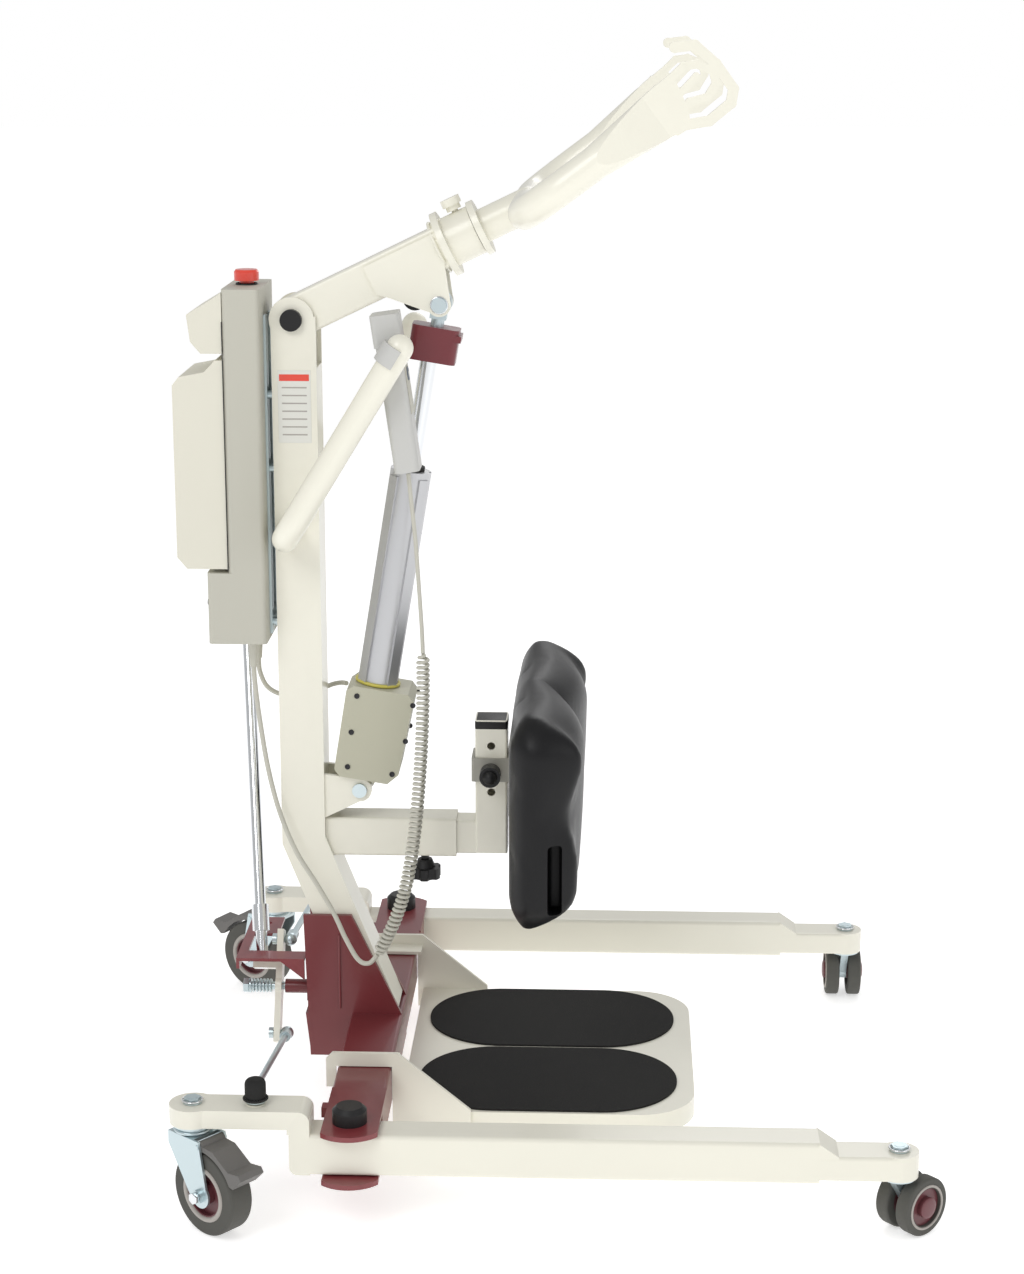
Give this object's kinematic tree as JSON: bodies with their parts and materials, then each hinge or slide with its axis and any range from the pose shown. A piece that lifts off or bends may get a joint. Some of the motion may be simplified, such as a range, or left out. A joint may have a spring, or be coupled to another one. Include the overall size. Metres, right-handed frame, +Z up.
{
  "type": "sit to stand lift",
  "caption": "Powered sit to stand lift: caster base with spreading legs, mast, boom with sling yoke, knee pad and lift-off footplate.",
  "frame": {"origin": "on the floor, below the middle of the whole lift without its cords", "axes": "+X along the legs towards the person lifted, +Y to the caregiver's left, +Z up"},
  "size_m": [0.9641, 0.8549, 1.3363],
  "materials": {
    "cream_paint": "gloss powder coat",
    "maroon_paint": "gloss powder coat",
    "zinc_steel": "zinc plated",
    "chrome_rod": "hard chrome",
    "dark_steel": "satin",
    "bracket_steel": "satin grey",
    "tube_aluminium": "anodised satin",
    "box_plastic": "fine texture",
    "shell_plastic": "fine texture",
    "motor_plastic": "fine texture",
    "handset_plastic": "fine texture",
    "button_plastic": "satin",
    "box_rubber": "matte",
    "cord_rubber": "matte",
    "black_plastic": "matte",
    "black_rubber": "matte",
    "red_plastic": "gloss",
    "maroon_plastic": "gloss",
    "maroon_hub": "gloss",
    "grey_tyre": "matte",
    "pedal_plastic": "matte",
    "pad_foam": "smooth self-skinned foam",
    "tread_rubber": "coarse anti-slip grain"
  },
  "bodies": {
    "base": {"cross_beam": "maroon_paint", "mast": "cream_paint", "knee_tube": "cream_paint", "handlebar": "cream_paint", "pivot_pins": "zinc_steel", "pivot_caps": "black_plastic", "box_bracket": "zinc_steel", "control_box": "box_plastic", "battery_dock": "shell_plastic", "strain_relief": "box_rubber", "gate_plate": "maroon_paint", "handset": "handset_plastic", "handset_cord": "cord_rubber", "coil_cord": "cord_rubber", "handset_cable": "cord_rubber", "actuator_cable": "cord_rubber"},
    "emergency_stop": {"emergency_stop": "red_plastic"},
    "battery": {"battery": "shell_plastic"},
    "up_button": {"up_button": "button_plastic"},
    "down_button": {"down_button": "button_plastic"},
    "leg_right": {"leg_right": "cream_paint"},
    "leg_left": {"leg_left": "cream_paint"},
    "tie_rod_right": {"tie_rod_right": "zinc_steel"},
    "tie_rod_left": {"tie_rod_left": "zinc_steel"},
    "shifter": {"shifter_lever": "cream_paint", "shifter_rod": "chrome_rod", "shifter_grip": "black_rubber"},
    "boom": {"boom": "cream_paint", "boom_bumper": "black_rubber", "rod_pin": "zinc_steel"},
    "collar_knob": {"collar_knob": "cream_paint"},
    "yoke": {"yoke": "cream_paint"},
    "actuator": {"motor_housing": "motor_plastic", "motor_cover": "motor_plastic", "motor": "dark_steel", "actuator_tube": "tube_aluminium"},
    "piston_rod": {"piston_rod": "chrome_rod"},
    "rod_end": {"rod_end": "zinc_steel"},
    "quick_release_grip": {"quick_release_grip": "maroon_plastic"},
    "knee_arm": {"knee_arm": "cream_paint"},
    "star_knob": {"star_knob": "black_plastic"},
    "knee_pad": {"pad_bracket": "bracket_steel", "knee_pad": "pad_foam"},
    "pad_knob": {"pad_knob": "black_plastic"},
    "footplate": {"footplate": "cream_paint", "tread_pads": "tread_rubber"},
    "rear_fork_right": {"rear_fork_right": "zinc_steel"},
    "rear_wheel_right": {"rear_tyre_right": "grey_tyre", "rear_hub_right": "maroon_hub"},
    "brake_pedal_right": {"brake_pedal_right": "pedal_plastic"},
    "front_fork_right": {"front_fork_right": "zinc_steel"},
    "front_wheels_right": {"front_tyres_right": "grey_tyre", "front_hubs_right": "maroon_hub"},
    "rear_fork_left": {"rear_fork_left": "zinc_steel"},
    "rear_wheel_left": {"rear_tyre_left": "grey_tyre", "rear_hub_left": "maroon_hub"},
    "brake_pedal_left": {"brake_pedal_left": "pedal_plastic"},
    "front_fork_left": {"front_fork_left": "zinc_steel"},
    "front_wheels_left": {"front_tyres_left": "grey_tyre", "front_hubs_left": "maroon_hub"}
  },
  "joints": [
    {"name": "leg_right_swing", "type": "hinge", "parent": "base", "child": "leg_right", "pos_m": [-0.207, -0.356, 0.096], "axis": [0, 0, -1], "range_deg": [0, 8.96]},
    {"name": "leg_left_swing", "type": "hinge", "parent": "base", "child": "leg_left", "pos_m": [-0.207, 0.356, 0.096], "axis": [0, 0, 1], "range_deg": [0, 8.97]},
    {"name": "shifter_swing", "type": "hinge", "parent": "base", "child": "shifter", "pos_m": [-0.334, 0, 0.15], "axis": [1, 0, 0], "range_deg": [0, 17.1]},
    {"name": "tie_rod_right_pivot", "type": "hinge", "parent": "shifter", "child": "tie_rod_right", "pos_m": [-0.322, -0.02724, 0.09654], "axis": [1, 0, 0], "range_deg": [-18.4, 0]},
    {"name": "tie_rod_left_pivot", "type": "hinge", "parent": "shifter", "child": "tie_rod_left", "pos_m": [-0.322, 0.02724, 0.20346], "axis": [1, 0, 0], "range_deg": [-18.4, 0]},
    {"name": "emergency_stop_press", "type": "slide", "parent": "base", "child": "emergency_stop", "axis": [0, 0, -1], "range_m": [0, 0.004], "stiffness_N_per_m": 300},
    {"name": "battery_slide", "type": "slide", "parent": "base", "child": "battery", "axis": [-1, 0, 0], "range_m": [0, 0.08]},
    {"name": "up_button_press", "type": "slide", "parent": "base", "child": "up_button", "axis": [-0.9903, 0, -0.1392], "range_m": [0, 0.0015], "stiffness_N_per_m": 400},
    {"name": "down_button_press", "type": "slide", "parent": "base", "child": "down_button", "axis": [-0.9903, 0, -0.1392], "range_m": [0, 0.0015], "stiffness_N_per_m": 400},
    {"name": "boom_lift", "type": "hinge", "parent": "base", "child": "boom", "pos_m": [-0.297, 0, 1.009], "axis": [0, -1, 0], "range_deg": [-40, 12]},
    {"name": "actuator_tilt", "type": "hinge", "parent": "base", "child": "actuator", "pos_m": [-0.224, 0, 0.423], "axis": [0, -1, 0], "range_deg": [-0.5, 0.5]},
    {"name": "rod_extend", "type": "slide", "parent": "actuator", "child": "piston_rod", "axis": [0.1627, 0, 0.9867], "range_m": [-0.122, 0.038]},
    {"name": "rod_end_pivot", "type": "hinge", "parent": "boom", "child": "rod_end", "pos_m": [-0.12047, 0, 1.02705], "axis": [0, -1, 0], "range_deg": [-12.2, 40.2]},
    {"name": "quick_release_pull", "type": "slide", "parent": "rod_end", "child": "quick_release_grip", "axis": [0.1627, 0, 0.9867], "range_m": [0, 0.005], "stiffness_N_per_m": 400, "springref_m": -0.004},
    {"name": "collar_knob_turn", "type": "hinge", "parent": "boom", "child": "collar_knob", "pos_m": [-0.08958, 0, 1.10838], "axis": [-0.4321, 0, 0.9018], "range_deg": [0, 180]},
    {"name": "yoke_slide", "type": "slide", "parent": "boom", "child": "yoke", "axis": [0.9018, 0, 0.4321], "range_m": [0, 0.045]},
    {"name": "knee_arm_slide", "type": "slide", "parent": "base", "child": "knee_arm", "axis": [1, 0, 0], "range_m": [-0.02, 0.06]},
    {"name": "star_knob_turn", "type": "hinge", "parent": "base", "child": "star_knob", "pos_m": [-0.145, 0, 0.32], "axis": [0, 0, 1], "range_deg": [0, 180]},
    {"name": "knee_pad_height", "type": "slide", "parent": "knee_arm", "child": "knee_pad", "axis": [0, 0, 1], "range_m": [-0.03, 0.03]},
    {"name": "pad_knob_pull", "type": "slide", "parent": "knee_pad", "child": "pad_knob", "axis": [0, -1, 0], "range_m": [0, 0.006], "stiffness_N_per_m": 300},
    {"name": "footplate_lift", "type": "slide", "parent": "base", "child": "footplate", "axis": [0, 0, 1], "range_m": [0, 0.05]},
    {"name": "rear_caster_right_swivel", "type": "hinge", "parent": "leg_right", "child": "rear_fork_right", "pos_m": [-0.388, -0.356, 0.05], "axis": [0, 0, 1], "continuous": true},
    {"name": "rear_wheel_right_roll", "type": "hinge", "parent": "rear_fork_right", "child": "rear_wheel_right", "pos_m": [-0.36349, -0.37657, 0.05], "axis": [0.6428, 0.766, 0], "continuous": true},
    {"name": "front_caster_right_swivel", "type": "hinge", "parent": "leg_right", "child": "front_fork_right", "pos_m": [0.422, -0.356, 0.035], "axis": [0, 0, 1], "continuous": true},
    {"name": "front_wheel_right_roll", "type": "hinge", "parent": "front_fork_right", "child": "front_wheels_right", "pos_m": [0.43983, -0.33994, 0.035], "axis": [-0.6691, 0.7431, 0], "continuous": true},
    {"name": "brake_right_press", "type": "hinge", "parent": "rear_fork_right", "child": "brake_pedal_right", "pos_m": [-0.36502, -0.37528, 0.109], "axis": [0.6428, 0.766, 0], "range_deg": [0, 4]},
    {"name": "rear_caster_left_swivel", "type": "hinge", "parent": "leg_left", "child": "rear_fork_left", "pos_m": [-0.388, 0.356, 0.05], "axis": [0, 0, 1], "continuous": true},
    {"name": "rear_wheel_left_roll", "type": "hinge", "parent": "rear_fork_left", "child": "rear_wheel_left", "pos_m": [-0.41571, 0.372, 0.05], "axis": [-0.5, -0.866, 0], "continuous": true},
    {"name": "front_caster_left_swivel", "type": "hinge", "parent": "leg_left", "child": "front_fork_left", "pos_m": [0.422, 0.356, 0.035], "axis": [0, 0, 1], "continuous": true},
    {"name": "front_wheel_left_roll", "type": "hinge", "parent": "front_fork_left", "child": "front_wheels_left", "pos_m": [0.422, 0.38, 0.035], "axis": [-1, 0, 0], "continuous": true},
    {"name": "brake_left_press", "type": "hinge", "parent": "rear_fork_left", "child": "brake_pedal_left", "pos_m": [-0.41398, 0.371, 0.109], "axis": [-0.5, -0.866, 0], "range_deg": [0, 4]}
  ],
  "couplings": [
    {"joint": "leg_left_swing", "follows": "leg_right_swing", "ratio": 1},
    {"joint": "shifter_swing", "follows": "leg_right_swing", "ratio": 1.8973},
    {"joint": "tie_rod_right_pivot", "follows": "leg_right_swing", "ratio": -2.0063},
    {"joint": "tie_rod_left_pivot", "follows": "leg_right_swing", "ratio": -2.0063},
    {"joint": "actuator_tilt", "follows": "boom_lift", "ratio": 0.003},
    {"joint": "rod_extend", "follows": "boom_lift", "m_per_rad": 0.17275},
    {"joint": "rod_end_pivot", "follows": "boom_lift", "ratio": -0.997}
  ]
}
